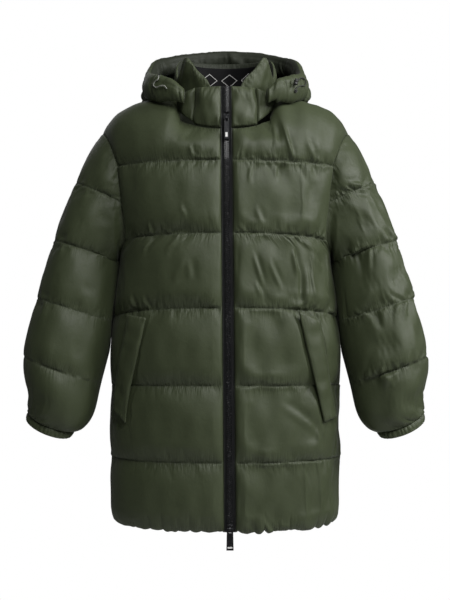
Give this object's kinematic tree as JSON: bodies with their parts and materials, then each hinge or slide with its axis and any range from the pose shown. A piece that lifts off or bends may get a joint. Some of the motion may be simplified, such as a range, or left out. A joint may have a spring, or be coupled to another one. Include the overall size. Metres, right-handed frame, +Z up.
{
  "type": "hooded puffer coat",
  "caption": "Hooded, quilted puffer coat with a two-way front zip, slanted welt pockets and elastic cuffs, filled out as when worn.",
  "frame": {"origin": "between the shoulders, midway between front and back, level with the inside of the shoulder cloth where a wearer carries the coat", "axes": "+X towards the wearer's left, -Y towards the front of the coat, +Z up"},
  "size_m": [0.8136, 0.3752, 1.0347],
  "materials": {
    "shell": "dark olive green plain-weave nylon with a soft satin sheen, down filled",
    "black_facing": "matt black woven facing inside the neck",
    "zip_tape": "black herringbone zip tape",
    "zip_teeth": "black moulded teeth",
    "cord": "braided elastic drawcord",
    "black_plastic": "moulded barrel cord lock",
    "dark_metal": "black lacquered zip slider and pull"
  },
  "bodies": {
    "root": {"front_right": "shell", "front_left": "shell", "back": "shell", "sleeve_right": "shell", "cuff_right": "shell", "sleeve_left": "shell", "cuff_left": "shell", "collar_right": "shell", "hood_front_right": "shell", "collar_inner_right": "shell", "collar_left": "shell", "hood_front_left": "shell", "collar_inner_left": "shell", "collar_back": "shell", "neck_facing": "black_facing", "hood_right": "shell", "hood_centre": "shell", "hood_left": "shell", "hood_rim": "shell", "zip_tape_right": "zip_tape", "zip_tape_left": "zip_tape", "zip_chain": "zip_teeth", "pocket_welt_right": "shell", "pocket_welt_left": "shell", "drawcord_right": "cord", "drawcord_left": "cord", "cord_lock": "black_plastic", "zip_slider_top": "dark_metal", "zip_bail_top": "dark_metal", "zip_slider_bottom": "dark_metal", "zip_bail_bottom": "dark_metal"},
    "pull_top": {"zip_pull_top": "dark_metal"},
    "pull_bottom": {"zip_pull_bottom": "dark_metal"}
  },
  "joints": [
    {"name": "top_pull_hinge", "type": "hinge", "parent": "root", "child": "pull_top", "pos_m": [0.002, -0.1294, -0.046], "axis": [-1, 0, 0], "range_deg": [0, 160]},
    {"name": "bottom_pull_hinge", "type": "hinge", "parent": "root", "child": "pull_bottom", "pos_m": [0.0087, -0.1509, -0.853], "axis": [-1, 0, 0], "range_deg": [-6, 160]}
  ]
}
